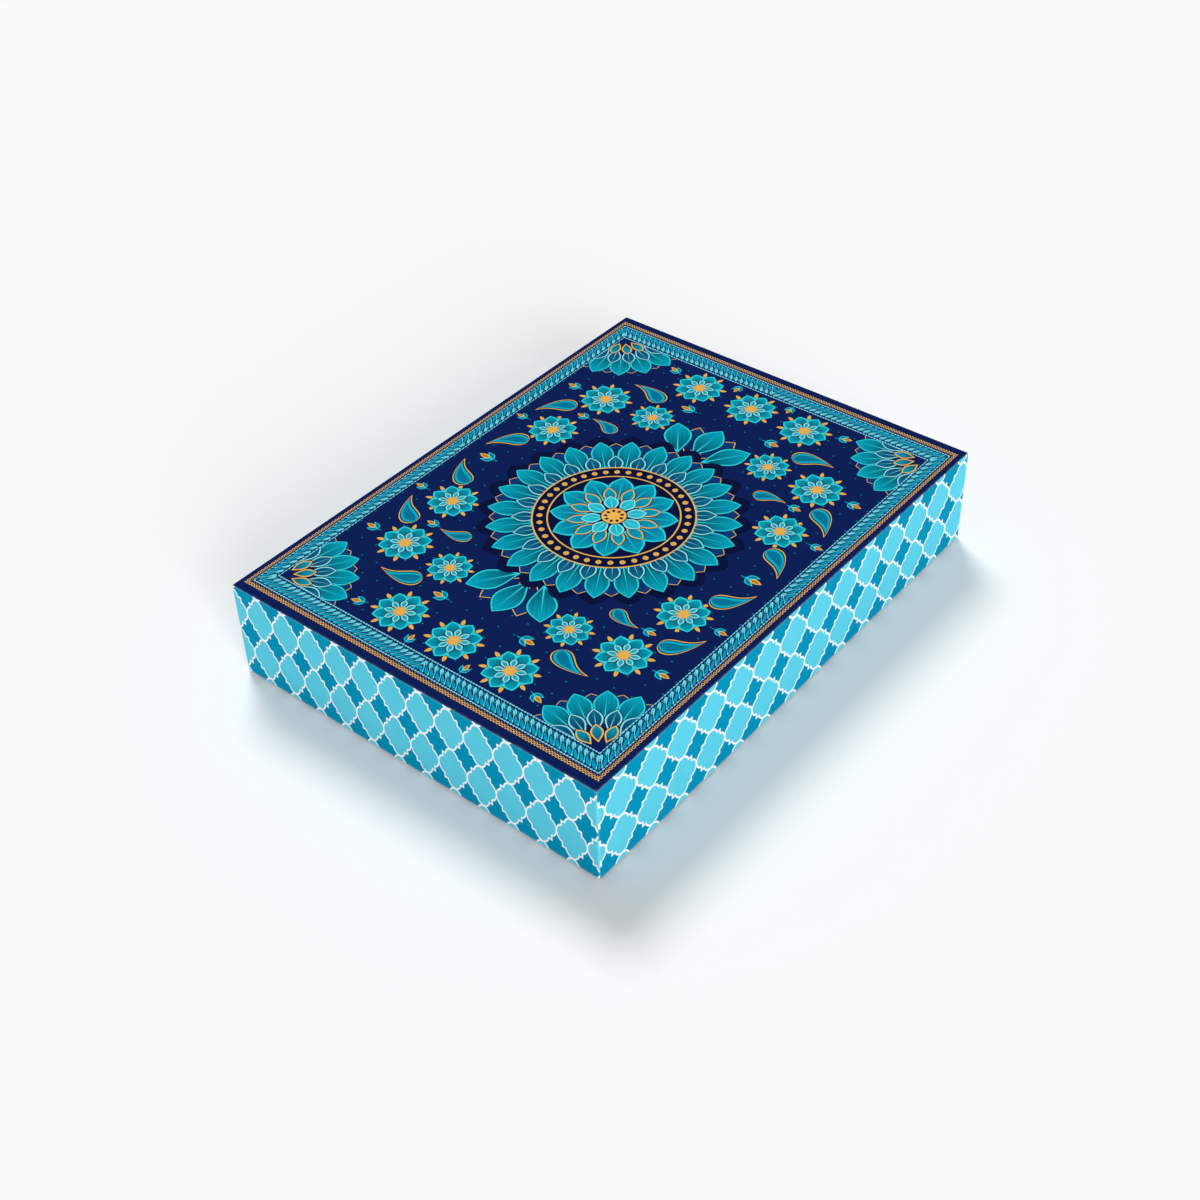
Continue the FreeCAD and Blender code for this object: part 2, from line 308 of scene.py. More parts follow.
# %% Petal ring group
ring_group, ring, ring_out = start_group(
    "petal_ring",
    floats("X", "Y", "Count", "Inner", "Outer", "Width", "Turn", "Fullness", "Tip"),
    floats("Depth", "Share", "Across"),
)
ring_sector = ring["Count"].math("POWER", -1.0) * (2 * math.pi)
ring_half = ring_sector * 0.5
ring_angle = ring["Y"].math("ARCTAN2", ring["X"]) - ring["Turn"] * ring_sector
ring_local = ring_angle.wrapped(ring_half * -1.0, ring_half)
ring_radius = distance(ring["X"], ring["Y"])
ring_across = ring_local.math("SINE") * ring_radius
ring_along = ring_local.math("COSINE") * ring_radius - ring["Inner"]
ring_shape = LeafShape(ring["Outer"] - ring["Inner"], ring["Width"], ring["Fullness"], ring["Tip"])
ring_leaf = place_leaf(ring_across, ring_along, ring_shape)
plug(ring_leaf["Depth"], ring_out["Depth"])
plug(ring_leaf["Share"], ring_out["Share"])
plug(ring_across, ring_out["Across"])
print("group:", ring_group.name, len(ring_group.nodes), "nodes")

# %% [markdown]
# ## Scattered flowers
#
# The field is sown with flowers and sprigs. Drawing each one apart would repeat the flower graph many
# times. Instead this group compares a motif with the best one so far and keeps the nearer, with the point
# counted from its own middle. A chain of them finds the nearest motif, which is drawn only once.

# %% Nearest motif group
near_group, near, near_out = start_group(
    "nearest_motif",
    floats(
        "X", "Y", "At X", "At Y", "Turn X", "Turn Y", "Kind",
        "Gap", "Local X", "Local Y", "Local Kind",
    ),
    floats("Gap", "Local X", "Local Y", "Local Kind"),
)
from_x = near["X"] - near["At X"]
from_y = near["Y"] - near["At Y"]
turned_x = from_x * near["Turn X"] + from_y * near["Turn Y"]
turned_y = from_y * near["Turn X"] - from_x * near["Turn Y"]
motif_gap = turned_x * turned_x + turned_y * turned_y
is_nearer = motif_gap.math("LESS_THAN", near["Gap"])
plug(motif_gap.smaller(near["Gap"]), near_out["Gap"])
for label, own in (("Local X", turned_x), ("Local Y", turned_y), ("Local Kind", near["Kind"])):
    plug(blended(near[label], own, is_nearer), near_out[label])

FAR_AWAY = 1e6
Motif = namedtuple("Motif", "x y size turn kind", defaults=(0,))


def nearest_motif(x, y, motifs):
    """Readings of the nearest motif: the point in motif sizes from its middle, and the motif's kind."""
    best = {"Gap": FAR_AWAY, "Local X": 0.0, "Local Y": 0.0, "Local Kind": 0.0}
    for motif in motifs:
        turn = math.radians(motif.turn)
        best = place_group(x.tree, near_group, {
            "X": x,
            "Y": y,
            "At X": motif.x,
            "At Y": motif.y,
            "Turn X": math.cos(turn) / motif.size,
            "Turn Y": math.sin(turn) / motif.size,
            "Kind": motif.kind,
            **best,
        })
    return best["Local X"], best["Local Y"], best["Local Kind"]


print("group:", near_group.name, len(near_group.nodes), "nodes")

# %% [markdown]
# ## Braided border
#
# The picture panel is framed by a gold chain and a braid between two rows of beads, like a sewn-on
# trimming. All of it follows two readings: how far in from the edge a point lies, as a share of half the
# panel, and how far along the side, counted in strokes of the braid. So one group serves all four sides.
# The chain is a row of round links with a knot between each two, and the bead rows are threads that swell
# into beads.

# %% Chain and beads of the border
border_group, border, border_out = start_group(
    "braided_border", floats("Edge", "Run"), {"Color": "Color", "Cover": "Float"}
)
edge_share = border["Edge"]
stroke_run = border["Run"]

CHAIN_LOW, CHAIN_HIGH = 0.0288, 0.0460
LINKS_PER_STROKE = 2.0
LINK_RADIUS = 0.66
LINK_HALF_WIRE = 0.22
LINK_SQUEEZE = 0.95
KNOT_RADIUS = 0.18
KNOT_PLACE = 1.2
KNOT_SQUEEZE = 0.8
SHADE_ALONG, SHADE_ACROSS = 0.6, 0.4
GOLD_SHADE = 0.12
LINK_FEATHER = 0.08
chain_across = (edge_share - (CHAIN_LOW + CHAIN_HIGH) / 2) / ((CHAIN_HIGH - CHAIN_LOW) / 2)
link_run = (stroke_run * LINKS_PER_STROKE).wrapped() * 2.0
link_ring = LINK_HALF_WIRE - abs(distance(link_run * LINK_SQUEEZE, chain_across) - LINK_RADIUS)
link_knot = KNOT_RADIUS - distance(1.0 - abs(link_run), (chain_across - KNOT_PLACE) * KNOT_SQUEEZE)
link_shade = (link_run * SHADE_ALONG + chain_across * SHADE_ACROSS).inked(1.0)
gold_color = overprint(ink("gold"), ink("dark gold"), link_shade * GOLD_SHADE)
chain_cover = link_ring.larger(link_knot).inked(LINK_FEATHER)
border_color = overprint(ink("navy"), gold_color, chain_cover)

OUTER_BEADS, INNER_BEADS = 0.0554, 0.1186
BEAD_PITCH = 0.5
BEAD_SWELL = 0.0027
BEAD_THREAD = 0.0008
BEAD_TINT = 0.6
BEAD_FEATHER = 0.0006
bead_gap = abs(edge_share - OUTER_BEADS).smaller(abs(edge_share - INNER_BEADS))
bead_swell = stroke_run.waves(BEAD_PITCH)
bead_size = bead_swell * BEAD_SWELL + BEAD_THREAD
bead_color = overprint(ink("ice"), ink("tile"), bead_swell * BEAD_TINT)
bead_cover = (bead_size - bead_gap).inked(BEAD_FEATHER)
border_color = overprint(border_color, bead_color, bead_cover)
print("chain and beads:", len(border_group.nodes), "nodes")

# %% [markdown]
# The braid is a row of leaning tassels. Each has a stem with a bulb near the outer end and a forked head
# near the inner one. A drop points inwards beside each stem, and a twig with a spot fills the gap between
# two heads. One pitch is drawn, on readings that lean towards the middle of the side, and wrapping
# repeats it.

# %% Outlines of the braid
BRAID_LOW, BRAID_HIGH = 0.0614, 0.1128
STROKES_ACROSS = 1.7
STROKE_LEAN = 1.33
DROP_LEAN = 2.19
DROP_PLACE = 0.766
DROP = LeafShape(length=0.57, width=0.37, fullness=0.5, tip=0.6)
TWIG = LeafShape(length=0.43, width=0.05, fullness=1.2, tip=0.8)
TWIG_START = 0.45
HEAD = LeafShape(length=0.57, width=0.35, fullness=1.7, tip=0.5)
HEAD_START = 0.38
FORK_PLACE = 0.09
FORK_END = 0.76
FORK_SPREAD = 0.42
STEM_HALF = 0.07
braid_share = (edge_share - BRAID_LOW) / (BRAID_HIGH - BRAID_LOW)
stroke = (stroke_run + braid_share * STROKE_LEAN).wrapped()
drop = (stroke_run + braid_share * DROP_LEAN - DROP_PLACE).wrapped()
between = 0.5 - abs(stroke)


def spot(across, place, radius):
    """The depth inside a round spot, whose place is a share of the braid."""
    return radius - distance(across, (braid_share - place) * STROKES_ACROSS)


drop_depth = place_leaf(drop, braid_share, DROP)["Depth"]
twig_depth = place_leaf(between, braid_share - TWIG_START, TWIG)["Depth"]
spot_depth = spot(between, place=0.89, radius=0.10)
head_depth = place_leaf(stroke, braid_share - HEAD_START, HEAD)["Depth"]
head_fork = abs(stroke - FORK_PLACE) - (FORK_END - braid_share) * FORK_SPREAD
bulb_depth = spot(stroke, place=0.10, radius=0.15)
stem_depth = STEM_HALF - abs(stroke)
stroke_depth = head_depth.smaller(head_fork).larger(bulb_depth).larger(stem_depth)
print("braid outlines: up to", len(border_group.nodes), "nodes")

# %% [markdown]
# The braid is inked from the ground up: drops, twigs, a dark edge round each tassel and the pale tassel
# itself, with fine threads in the drops and the tassels. A last threshold tells where the border ends.

# %% Inks of the braid
BRAID_FEATHER = 0.03
DARK_EDGE = 0.07
DROP_THREAD, DROP_TINT = 0.22, 0.6
STROKE_THREAD, STROKE_TINT = 0.13, 0.4
BRAID_EDGE_FEATHER = 0.02
BORDER_END = 0.1216
BORDER_FEATHER = 0.001
drop_color = overprint(ink("tile gap"), ink("turquoise"), drop.waves(DROP_THREAD) * DROP_TINT)
braid_color = overprint(ink("navy"), drop_color, drop_depth.inked(BRAID_FEATHER))
twig_cover = twig_depth.larger(spot_depth).inked(BRAID_FEATHER)
braid_color = overprint(braid_color, ink("turquoise"), twig_cover)
dark_cover = (stroke_depth + DARK_EDGE).inked(BRAID_FEATHER)
braid_color = overprint(braid_color, ink("deep navy"), dark_cover)
stroke_color = overprint(ink("tile"), ink("ice"), stroke.waves(STROKE_THREAD) * STROKE_TINT)
braid_color = overprint(braid_color, stroke_color, stroke_depth.inked(BRAID_FEATHER))
braid_cover = (0.5 - abs(braid_share - 0.5)).inked(BRAID_EDGE_FEATHER)
border_color = overprint(border_color, braid_color, braid_cover)
plug(border_color, border_out["Color"])
plug((BORDER_END - edge_share).inked(BORDER_FEATHER), border_out["Cover"])
print("group:", border_group.name, len(border_group.nodes), "nodes, border ends at", BORDER_END)

# %% [markdown]
# ## Trellis tile
#
# The sides carry the quatrefoil trellis known from Moorish tiles. One quarter of a tile is enough,
# because the pattern mirrors both ways: a square with a round lobe on each side. The smallest of the
# three distances is the distance to their common outline, and a band of even width round it is the white
# line.

# %% Trellis group
TILE_SQUARE = 0.65
LOBE_MIDDLE = 0.545
LOBE_RADIUS = 0.445
TILE_FEATHER = 0.02
trellis_group, trellis, trellis_out = start_group(
    "trellis_tile", floats("Across", "Down", "Line"), floats("Tile", "Line")
)
tile_x = abs(trellis["Across"].wrapped()) * 2.0
tile_y = abs(trellis["Down"].wrapped()) * 2.0
square_gap = tile_x.larger(tile_y) - TILE_SQUARE
side_gap = distance(tile_x - LOBE_MIDDLE, tile_y) - LOBE_RADIUS
crown_gap = distance(tile_x, tile_y - LOBE_MIDDLE) - LOBE_RADIUS
tile_gap = square_gap.smaller(side_gap).smaller(crown_gap)
plug((tile_gap * -1.0).inked(TILE_FEATHER), trellis_out["Tile"])
plug((trellis["Line"] - abs(tile_gap)).inked(TILE_FEATHER), trellis_out["Line"])
print("group:", trellis_group.name, len(trellis_group.nodes), "nodes")

# %% [markdown]
# ## Paper, and where it rubs
#
# Every sheet of the box is paper of some kind: fibres make a fine relief and a faint cloudiness, and
# board has flecks as well. Stretched noise gives all three. One group holds them, and each paper places
# it with its own grain.

# %% Paper group
FIBRES_ALONG = (0.35, 1.4, 1.0)
FIBRES_ACROSS = (1.4, 0.35, 0.6)
FIBRE_SHARE = 0.15
CLOUD_SHARE = 0.7
CLOUD_SCALE = 0.06
FLECK_STRETCH = (0.5, 1.6, 1.6)
FLECK_SCALE = 0.8
FLECK_START = 0.66
FLECK_FEATHER = 0.06


def noise(place, scale, detail, stretch=(1.0, 1.0, 1.0)):
    """A noise reading between 0 and 1, on a place that is counted in millimetres."""
    mapping = place.tree.nodes.new("ShaderNodeMapping")
    plug(place, mapping.inputs["Vector"])
    plug(stretch, mapping.inputs["Scale"])
    texture = place.tree.nodes.new("ShaderNodeTexNoise")
    plug(mapping.outputs["Vector"], texture.inputs["Vector"])
    plug(scale, texture.inputs["Scale"])
    plug(detail, texture.inputs["Detail"])
    return Reading(texture.outputs["Fac"])


paper_group, paper, paper_out = start_group(
    "paper_fibres", {"Place": "Vector", "Grain": "Float"}, floats("Relief", "Cloud", "Fleck")
)
fibre_place = paper["Place"].scaled(paper["Grain"])
fibres_along = noise(fibre_place, scale=1.0, detail=3.0, stretch=FIBRES_ALONG)
fibres_across = noise(fibre_place, scale=1.0, detail=3.0, stretch=FIBRES_ACROSS)
paper_cloud = noise(fibre_place, CLOUD_SCALE, detail=3.0)
fibre_relief = fibres_along * FIBRE_SHARE + fibres_across * FIBRE_SHARE + paper_cloud * CLOUD_SHARE
plug(fibre_relief, paper_out["Relief"])
plug(paper_cloud, paper_out["Cloud"])
fleck_noise = noise(fibre_place, FLECK_SCALE, detail=1.0, stretch=FLECK_STRETCH)
plug((fleck_noise - FLECK_START).inked(FLECK_FEATHER), paper_out["Fleck"])
print("group:", paper_group.name, len(paper_group.nodes), "nodes")

# %% [markdown]
# Hands and shelves rub the ink thin along the folds of the lid. A fold is near two of its sides at once,
# so products of the nearnesses find it. Noise breaks the rub into patches.

# %% Rubbed folds group
half_length = MM * cad_high.x
half_width = MM * cad_high.y
lid_top = MM * cad_high.z
lid_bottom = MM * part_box("lid_printed_wrap")[0].z
RUB_REACH = 1.2
RUB_PATCH_SCALE = 0.35
RUB_CREST = 1.5
RUB_START = 0.95
RUB_FEATHER = 0.6
rub_group, rub, rub_out = start_group("rubbed_folds", {"Place": "Vector"}, floats("Rub"))
rub_x, rub_y, rub_z = rub["Place"].parts()
rub_gaps = (
    half_length - abs(rub_x),
    half_width - abs(rub_y),
    (lid_top - rub_z).smaller(rub_z - lid_bottom),
)
near_x, near_y, near_z = [(1.0 - gap / RUB_REACH).larger(0.0) for gap in rub_gaps]
fold_crest = near_x * near_y + near_y * near_z + near_z * near_x
rub_patches = noise(rub["Place"], RUB_PATCH_SCALE, detail=4.0)
plug((fold_crest * RUB_CREST + rub_patches - RUB_START).inked(RUB_FEATHER), rub_out["Rub"])
print("group:", rub_group.name, len(rub_group.nodes), "nodes, lid down to", round(lid_bottom, 2), "mm")

# %% [markdown]
# ## Starting and ending a finish
#
# Each finish starts alike: a Principled shader, and the object's own coordinates scaled to millimetres,
# so that a grain of 3 means three waves to a millimetre. Paper reflects little, so the specular level is
# low, and the relief reaches the shader through a Bump node whose distance is a real height.

# %% Finish helpers
Finish = namedtuple("Finish", "material tree shader place x y")


def start_finish(name, specular):
    """Makes a material and returns what a finish needs of it, with its place in millimetres."""
    material = bpy.data.materials.new(name)
    material.use_nodes = True
    tree = material.node_tree
    shader = tree.nodes["Principled BSDF"]
    plug(specular, shader.inputs["Specular IOR Level"])
    coordinates = tree.nodes.new("ShaderNodeTexCoord")
    place = Reading(coordinates.outputs["Object"]).scaled(MM)
    x, y, _ = place.parts()
    return Finish(material, tree, shader, place, x, y)


def end_finish(finish, color, roughness, relief, height):
    """Plugs the colour, the roughness and a relief of the given height in metres into the shader."""
    plug(color, finish.shader.inputs["Base Color"])
    plug(roughness, finish.shader.inputs["Roughness"])
    bump = finish.tree.nodes.new("ShaderNodeBump")
    plug(1.0, bump.inputs["Strength"])
    plug(height, bump.inputs["Distance"])
    plug(relief, bump.inputs["Height"])
    plug(bump.outputs["Normal"], finish.shader.inputs["Normal"])
    return finish.material


def fibres_of(finish, grain):
    """The readings of the paper under a finish."""
    return place_group(finish.tree, paper_group, {"Place": finish.place, "Grain": grain})


print("a finish holds:", Finish._fields)

# %% [markdown]
# The lid's two prints end alike. Along the folds some white paper shows through the rubbed ink, and the
# matt varnish is a little uneven where the paper is cloudy.

# %% End a print
RUB_SHARE = 0.07
PRINT_GLOSS = 0.005
PRINT_GRAIN = 3.0
PRINT_CLOUD = 0.12
PRINT_ROUGHNESS = 0.58
PRINT_UNEVENNESS = 0.16
PRINT_RELIEF = 0.00010


def end_print(finish, color, fibres):
    """Rubs a print along the folds of the lid and ends its finish."""
    rubbed = place_group(finish.tree, rub_group, {"Place": finish.place})
    color = overprint(color, ink("paper white"), rubbed["Rub"] * RUB_SHARE)
    roughness = fibres["Cloud"] * PRINT_UNEVENNESS + PRINT_ROUGHNESS
    return end_finish(finish, color, roughness, fibres["Relief"], PRINT_RELIEF)


print("prints have a relief of", MM * PRINT_RELIEF, "mm")

# %% [markdown]
# ## The picture panel
#
# The lid's panel is drawn in the manner of printed Indian box papers: a navy ground, a lotus medallion
# with a fan at each end, quarter rosettes in the corners and a field sown with flowers. Colours go down
# in the order of a screen printer, from the ground up: outline, rim and body of each ring of petals over
# what lies below.

# %% Petal layers
RING_SIZES = "count inner outer width turn fullness tip"
Petals = namedtuple("Petals", RING_SIZES + " line rim vein inks")
THREAD_PITCH = 0.055
THREAD_SHARE = 0.22


def lay_rings(color, x, y, rings, feather, allow=None):
    """Prints rings of petals: outline, rim and a body that fades to the tip, with threads and a vein."""
    for petals in rings:
        sizes = {label.title(): getattr(petals, label) for label in RING_SIZES.split()}
        ring = place_group(x.tree, ring_group, {"X": x, "Y": y, **sizes})
        line_ink, rim_ink, base_ink, tip_ink = petals.inks
        body = overprint(ink(base_ink), ink(tip_ink), ring["Share"])
        threads = ring["Across"].waves(THREAD_PITCH * petals.outer) * THREAD_SHARE
        body = overprint(body, ink("deep navy"), threads)
        if petals.vein:
            vein = (1.0 - ring["Share"]) * petals.vein - abs(ring["Across"])
            body = overprint(body, ink(rim_ink), vein.inked(feather))
        layers = ((ink(line_ink), 0.0), (ink(rim_ink), petals.line), (body, petals.line + petals.rim))
        for layer, inset in layers:
            cover = (ring["Depth"] - inset).inked(feather)
            if allow is not None:
                cover = cover * allow
            color = overprint(color, layer, cover)
    return color


print("a ring of petals is told by", Petals._fields)

# %% [markdown]
# The tables below are the design itself. Each row is one ring of petals: how many, from which radius to
# which, how wide, how far turned, how full and how pointed, then its outline, rim and vein, and its four
# inks from the outline inwards. Medallion, fans and corners are in millimetres.

# %% Design of the medallion
DARK = ("deep navy", "deep navy", "deep navy", "deep navy")
BEAD = ("dark gold", "gold", "gold", "gold")
LOTUS = ("deep navy", "cyan", "deep navy", "turquoise")
GOLD_RIM = ("deep navy", "gold", "navy", "royal")
ICE_RIM = ("deep navy", "ice", "navy", "teal")
OUTER_RINGS = (
    Petals(24, 34.0, 54.5, 6.8, 0.0, 1.2, 0.6, 0.0, 0.0, 0.0, DARK),
    Petals(24, 31.0, 49.5, 6.0, 0.5, 1.3, 0.8, 0.4, 0.5, 0.0, GOLD_RIM),
    Petals(24, 29.0, 51.0, 5.2, 0.0, 1.35, 0.9, 0.4, 0.6, 0.4, LOTUS),
    Petals(24, 27.0, 41.0, 3.7, 0.5, 1.3, 1.0, 0.4, 0.6, 0.3, ICE_RIM),
)
BEAD_RING = Petals(40, 28.0, 30.6, 1.25, 0.0, 1.0, 0.6, 0.1, 0.2, 0.0, BEAD)
HUB_RINGS = (
    Petals(12, 9.0, 26.0, 5.6, 0.0, 1.3, 1.0, 0.4, 0.9, 0.4, ("deep navy", "cyan", "royal", "turquoise")),
    Petals(12, 7.0, 19.5, 3.2, 0.5, 1.2, 1.0, 0.4, 0.6, 0.0, ("deep navy", "gold", "teal", "turquoise")),
    Petals(8, 3.0, 13.5, 3.4, 0.0, 1.2, 1.0, 0.3, 0.7, 0.3, ("deep navy", "ice", "turquoise", "cyan")),
)
SEEDS = Petals(9, 2.4, 4.2, 0.8, 0.0, 1.0, 0.6, 0.2, 0.2, 0.0, ("dark gold", "deep navy", "navy", "navy"))
INNER_PARTS = (
    ((("gold", 32.6), ("deep navy", 32.0)), (BEAD_RING,)),
    ((("gold", 26.6), ("deep navy", 26.0)), HUB_RINGS),
    ((("deep navy", 5.5), ("gold", 5.0)), (SEEDS,)),
)
FAN_PLACE = 41.0
FANS = (
    (36, (Petals(10, 8.0, 30.0, 5.6, 0.5, 1.3, 1.0, 0.4, 0.5, 0.0, GOLD_RIM),)),
    (54, (Petals(10, 8.0, 32.0, 6.4, 0.0, 1.35, 1.0, 0.5, 0.7, 0.5, LOTUS),)),
)
CORNER = (
    Petals(16, 14.0, 29.5, 5.8, 0.0, 1.3, 0.8, 0.4, 0.5, 0.0, GOLD_RIM),
    Petals(16, 13.0, 31.0, 5.0, 0.5, 1.35, 0.9, 0.4, 0.6, 0.4, LOTUS),
    Petals(16, 9.0, 22.0, 3.4, 0.0, 1.3, 1.0, 0.4, 0.6, 0.3, ICE_RIM),
    Petals(12, 4.0, 14.5, 2.8, 0.5, 1.2, 1.0, 0.4, 0.6, 0.0, ("deep navy", "gold", "navy", "turquoise")),
)
print("medallion:", len(OUTER_RINGS), "outer rings and", len(INNER_PARTS), "inner parts")

# %% [markdown]
# The field has three motifs: rosettes, paisleys and sprigs with a bud between two leaves. Their outlines
# count in motif sizes. The lists give each motif's place and size in millimetres, its turn in degrees and,
# for a paisley, its kind.

# %% Design of the field
ROSETTE = (
    Petals(8, 0.62, 1.14, 0.10, 0.5, 1.3, 1.0, 0.02, 0.03, 0.0, ("deep navy", "gold", "gold", "gold")),
    Petals(8, 0.10, 1.0, 0.34, 0.0, 1.35, 1.0, 0.03, 0.09, 0.0, LOTUS),
    Petals(8, 0.12, 0.64, 0.16, 0.5, 1.1, 1.0, 0.03, 0.05, 0.0, ("deep navy", "ice", "teal", "cyan")),
    Petals(6, 0.0, 0.28, 0.11, 0.0, 1.0, 0.7, 0.02, 0.03, 0.0, BEAD),
)
PAISLEY = LeafShape(length=1.75, width=0.56, bend=1.15, fullness=0.60, tip=0.70)
PAISLEY_START = Vector((-0.85, -0.22))
PAISLEY_LAYERS = (("deep navy", 0.0), ("gold", 0.04), ("navy", 0.10), ("turquoise", 0.17), ("teal", 0.30))
PAISLEY_KIND = 1
FLOWERS = (
    Motif(31.0, 57.5, 10.4, 0),
    Motif(62.0, 54.0, 10.8, 0),
    Motif(63.0, 29.5, 9.0, 0),
    Motif(93.0, 27.0, 10.8, 0),
    Motif(93.0, 0.0, 10.8, 0),
    Motif(15.0, 67.0, 8.6, 100, PAISLEY_KIND),
    Motif(46.5, 67.0, 8.6, 100, PAISLEY_KIND),
    Motif(46.5, 41.0, 6.6, 40, PAISLEY_KIND),
    Motif(77.5, 40.5, 8.6, 40, PAISLEY_KIND),
)
SPRIG_STEM = LeafShape(length=0.90, width=0.05, fullness=1.0, tip=0.3)
SPRIG_LEAF = LeafShape(length=1.0, width=0.22, bend=-0.25, fullness=0.9, tip=1.0)
SPRIG_BUD = LeafShape(length=0.95, width=0.24, fullness=0.8, tip=0.9)
STEM_START, LEAF_START, BUD_START = -0.70, -0.30, 0.05
SPRIG_SPREAD = math.radians(42)
SPRIGS = (
    Motif(0.0, 65.0, 5.6, 90),
    Motif(31.0, 73.2, 4.0, 90),
    Motif(62.0, 70.0, 4.6, 90),
    Motif(46.5, 52.6, 4.2, 90),
    Motif(77.2, 20.0, 5.0, 90),
    Motif(103.0, 13.5, 3.8, 180),
    Motif(97.5, 42.6, 4.4, 70),
)
print("field:", len(FLOWERS), "flowers and", len(SPRIGS), "sprigs a quarter")

# %% [markdown]
# The panel mirrors both ways, so one quarter is drawn, on the absolute coordinates. First come the ground
# with its dots and the sprigs.

# %% Draw the ground and the sprigs
DOT_PITCH = 7.75
DOT_RADIUS = 0.42
FEATHER = 0.10
MOTIF_FEATHER = 0.015
panel = start_finish("printed_panel", specular=PRINT_GLOSS)
panel_tree = panel.tree
x_fold = abs(panel.x)
y_fold = abs(panel.y)

dot_x = x_fold.wrapped(-DOT_PITCH / 2, DOT_PITCH / 2)
dot_y = y_fold.wrapped(-DOT_PITCH / 2, DOT_PITCH / 2)
dot_cover = (DOT_RADIUS - distance(dot_x, dot_y)).inked(FEATHER)
panel_color = overprint(ink("navy"), ink("teal"), dot_cover)

sprig_x, sprig_y, _ = nearest_motif(x_fold, y_fold, SPRIGS)
sprig_side = abs(sprig_y)
sprig_stem = place_leaf(sprig_y, sprig_x - STEM_START, SPRIG_STEM)["Depth"]
leaf_x = sprig_x - LEAF_START
leaf_across = sprig_side * math.cos(SPRIG_SPREAD) - leaf_x * math.sin(SPRIG_SPREAD)
leaf_along = leaf_x * math.cos(SPRIG_SPREAD) + sprig_side * math.sin(SPRIG_SPREAD)
sprig_leaf = place_leaf(leaf_across, leaf_along, SPRIG_LEAF)["Depth"]
sprig_bud = place_leaf(sprig_y, sprig_x - BUD_START, SPRIG_BUD)["Depth"]
SPRIG_LAYERS = (
    (sprig_stem, 0.0, "turquoise"),
    (sprig_leaf, 0.0, "cyan"),
    (sprig_leaf, 0.08, "teal"),
    (sprig_bud, 0.0, "gold"),
    (sprig_bud, 0.10, "dark gold"),
)
for depth, inset, name in SPRIG_LAYERS:
    panel_color = overprint(panel_color, ink(name), (depth - inset).inked(MOTIF_FEATHER))
print("ground and sprigs:", len(panel_tree.nodes), "nodes")

# %% [markdown]
# The flowers follow. Where the nearest motif is a rosette its rings of petals are printed, and where it
# is a paisley its layers are, each one a little further inside the outline than the one below.

# %% Draw the flowers
flower_x, flower_y, flower_kind = nearest_motif(x_fold, y_fold, FLOWERS)
is_rosette = 1.0 - flower_kind
panel_color = lay_rings(panel_color, flower_x, flower_y, ROSETTE, MOTIF_FEATHER, is_rosette)
paisley_across = flower_y - PAISLEY_START.y
paisley_along = flower_x - PAISLEY_START.x
paisley_depth = place_leaf(paisley_across, paisley_along, PAISLEY)["Depth"]
for name, inset in PAISLEY_LAYERS:
    cover = (paisley_depth - inset).inked(MOTIF_FEATHER) * flower_kind
    panel_color = overprint(panel_color, ink(name), cover)
print("flowers: up to", len(panel_tree.nodes), "nodes")

# %% [markdown]
# Corners, fans and medallion lie over the field. Plain discs part the medallion's rings, with gold edges
# and a row of beads. A fan's petals show only within a wedge that opens away from the medallion.

# %% Draw the medallion
PRINT_INSET = 0.5
PRINT_HALF_LENGTH = half_length - PRINT_INSET
FAN_FEATHER = 0.5
corner_x = PRINT_HALF_LENGTH * (1 - BORDER_END) - x_fold
corner_y = half_width * (1 - BORDER_END) - y_fold
panel_color = lay_rings(panel_color, corner_x, corner_y, CORNER, FEATHER)
fan_x = x_fold - FAN_PLACE
for half_spread, fan in FANS:
    fan_wedge = (fan_x * math.tan(math.radians(half_spread)) - y_fold).inked(FAN_FEATHER)
    panel_color = lay_rings(panel_color, fan_x, panel.y, fan, FEATHER, fan_wedge)
panel_color = lay_rings(panel_color, panel.x, panel.y, OUTER_RINGS, FEATHER)
from_middle = distance(panel.x, panel.y)
for discs, rings in INNER_PARTS:
    for name, radius in discs:
        panel_color = overprint(panel_color, ink(name), (radius - from_middle).inked(FEATHER))
    panel_color = lay_rings(panel_color, panel.x, panel.y, rings, FEATHER)
print("medallion: up to", len(panel_tree.nodes), "nodes")

# %% [markdown]
# The border frames the picture. Each point belongs to the side whose edge is nearer, as a share of half
# the panel, so the bands meet in mitres at the corners. The same number of strokes fills long and short
# sides.

# %% Frame the panel
STROKE_PITCH = 0.0298
edge_x = 1.0 - x_fold / PRINT_HALF_LENGTH
edge_y = 1.0 - y_fold / half_width
on_short_side = edge_x.math("LESS_THAN", edge_y)
run_x = x_fold / (PRINT_HALF_LENGTH * STROKE_PITCH)
run_y = y_fold / (half_width * STROKE_PITCH)
frame_band = place_group(panel_tree, border_group, {
    "Edge": edge_x.smaller(edge_y),
    "Run": blended(run_x, run_y, on_short_side),
})
panel_color = overprint(panel_color, frame_band["Color"], frame_band["Cover"])
fibres = fibres_of(panel, PRINT_GRAIN)
panel_color = overprint(panel_color, ink("deep navy"), fibres["Cloud"] * PRINT_CLOUD)
panel_finish = end_print(panel, panel_color, fibres)
print("printed panel:", len(panel_tree.nodes), "nodes")

# %% [markdown]
# ## The trellis on the sides
#
# The side paper reads its own UV map, which counts tiles along the box and rows down it. The paper
# carries the pattern round the lower edge and up inside, so the map follows the sheet and not the space.

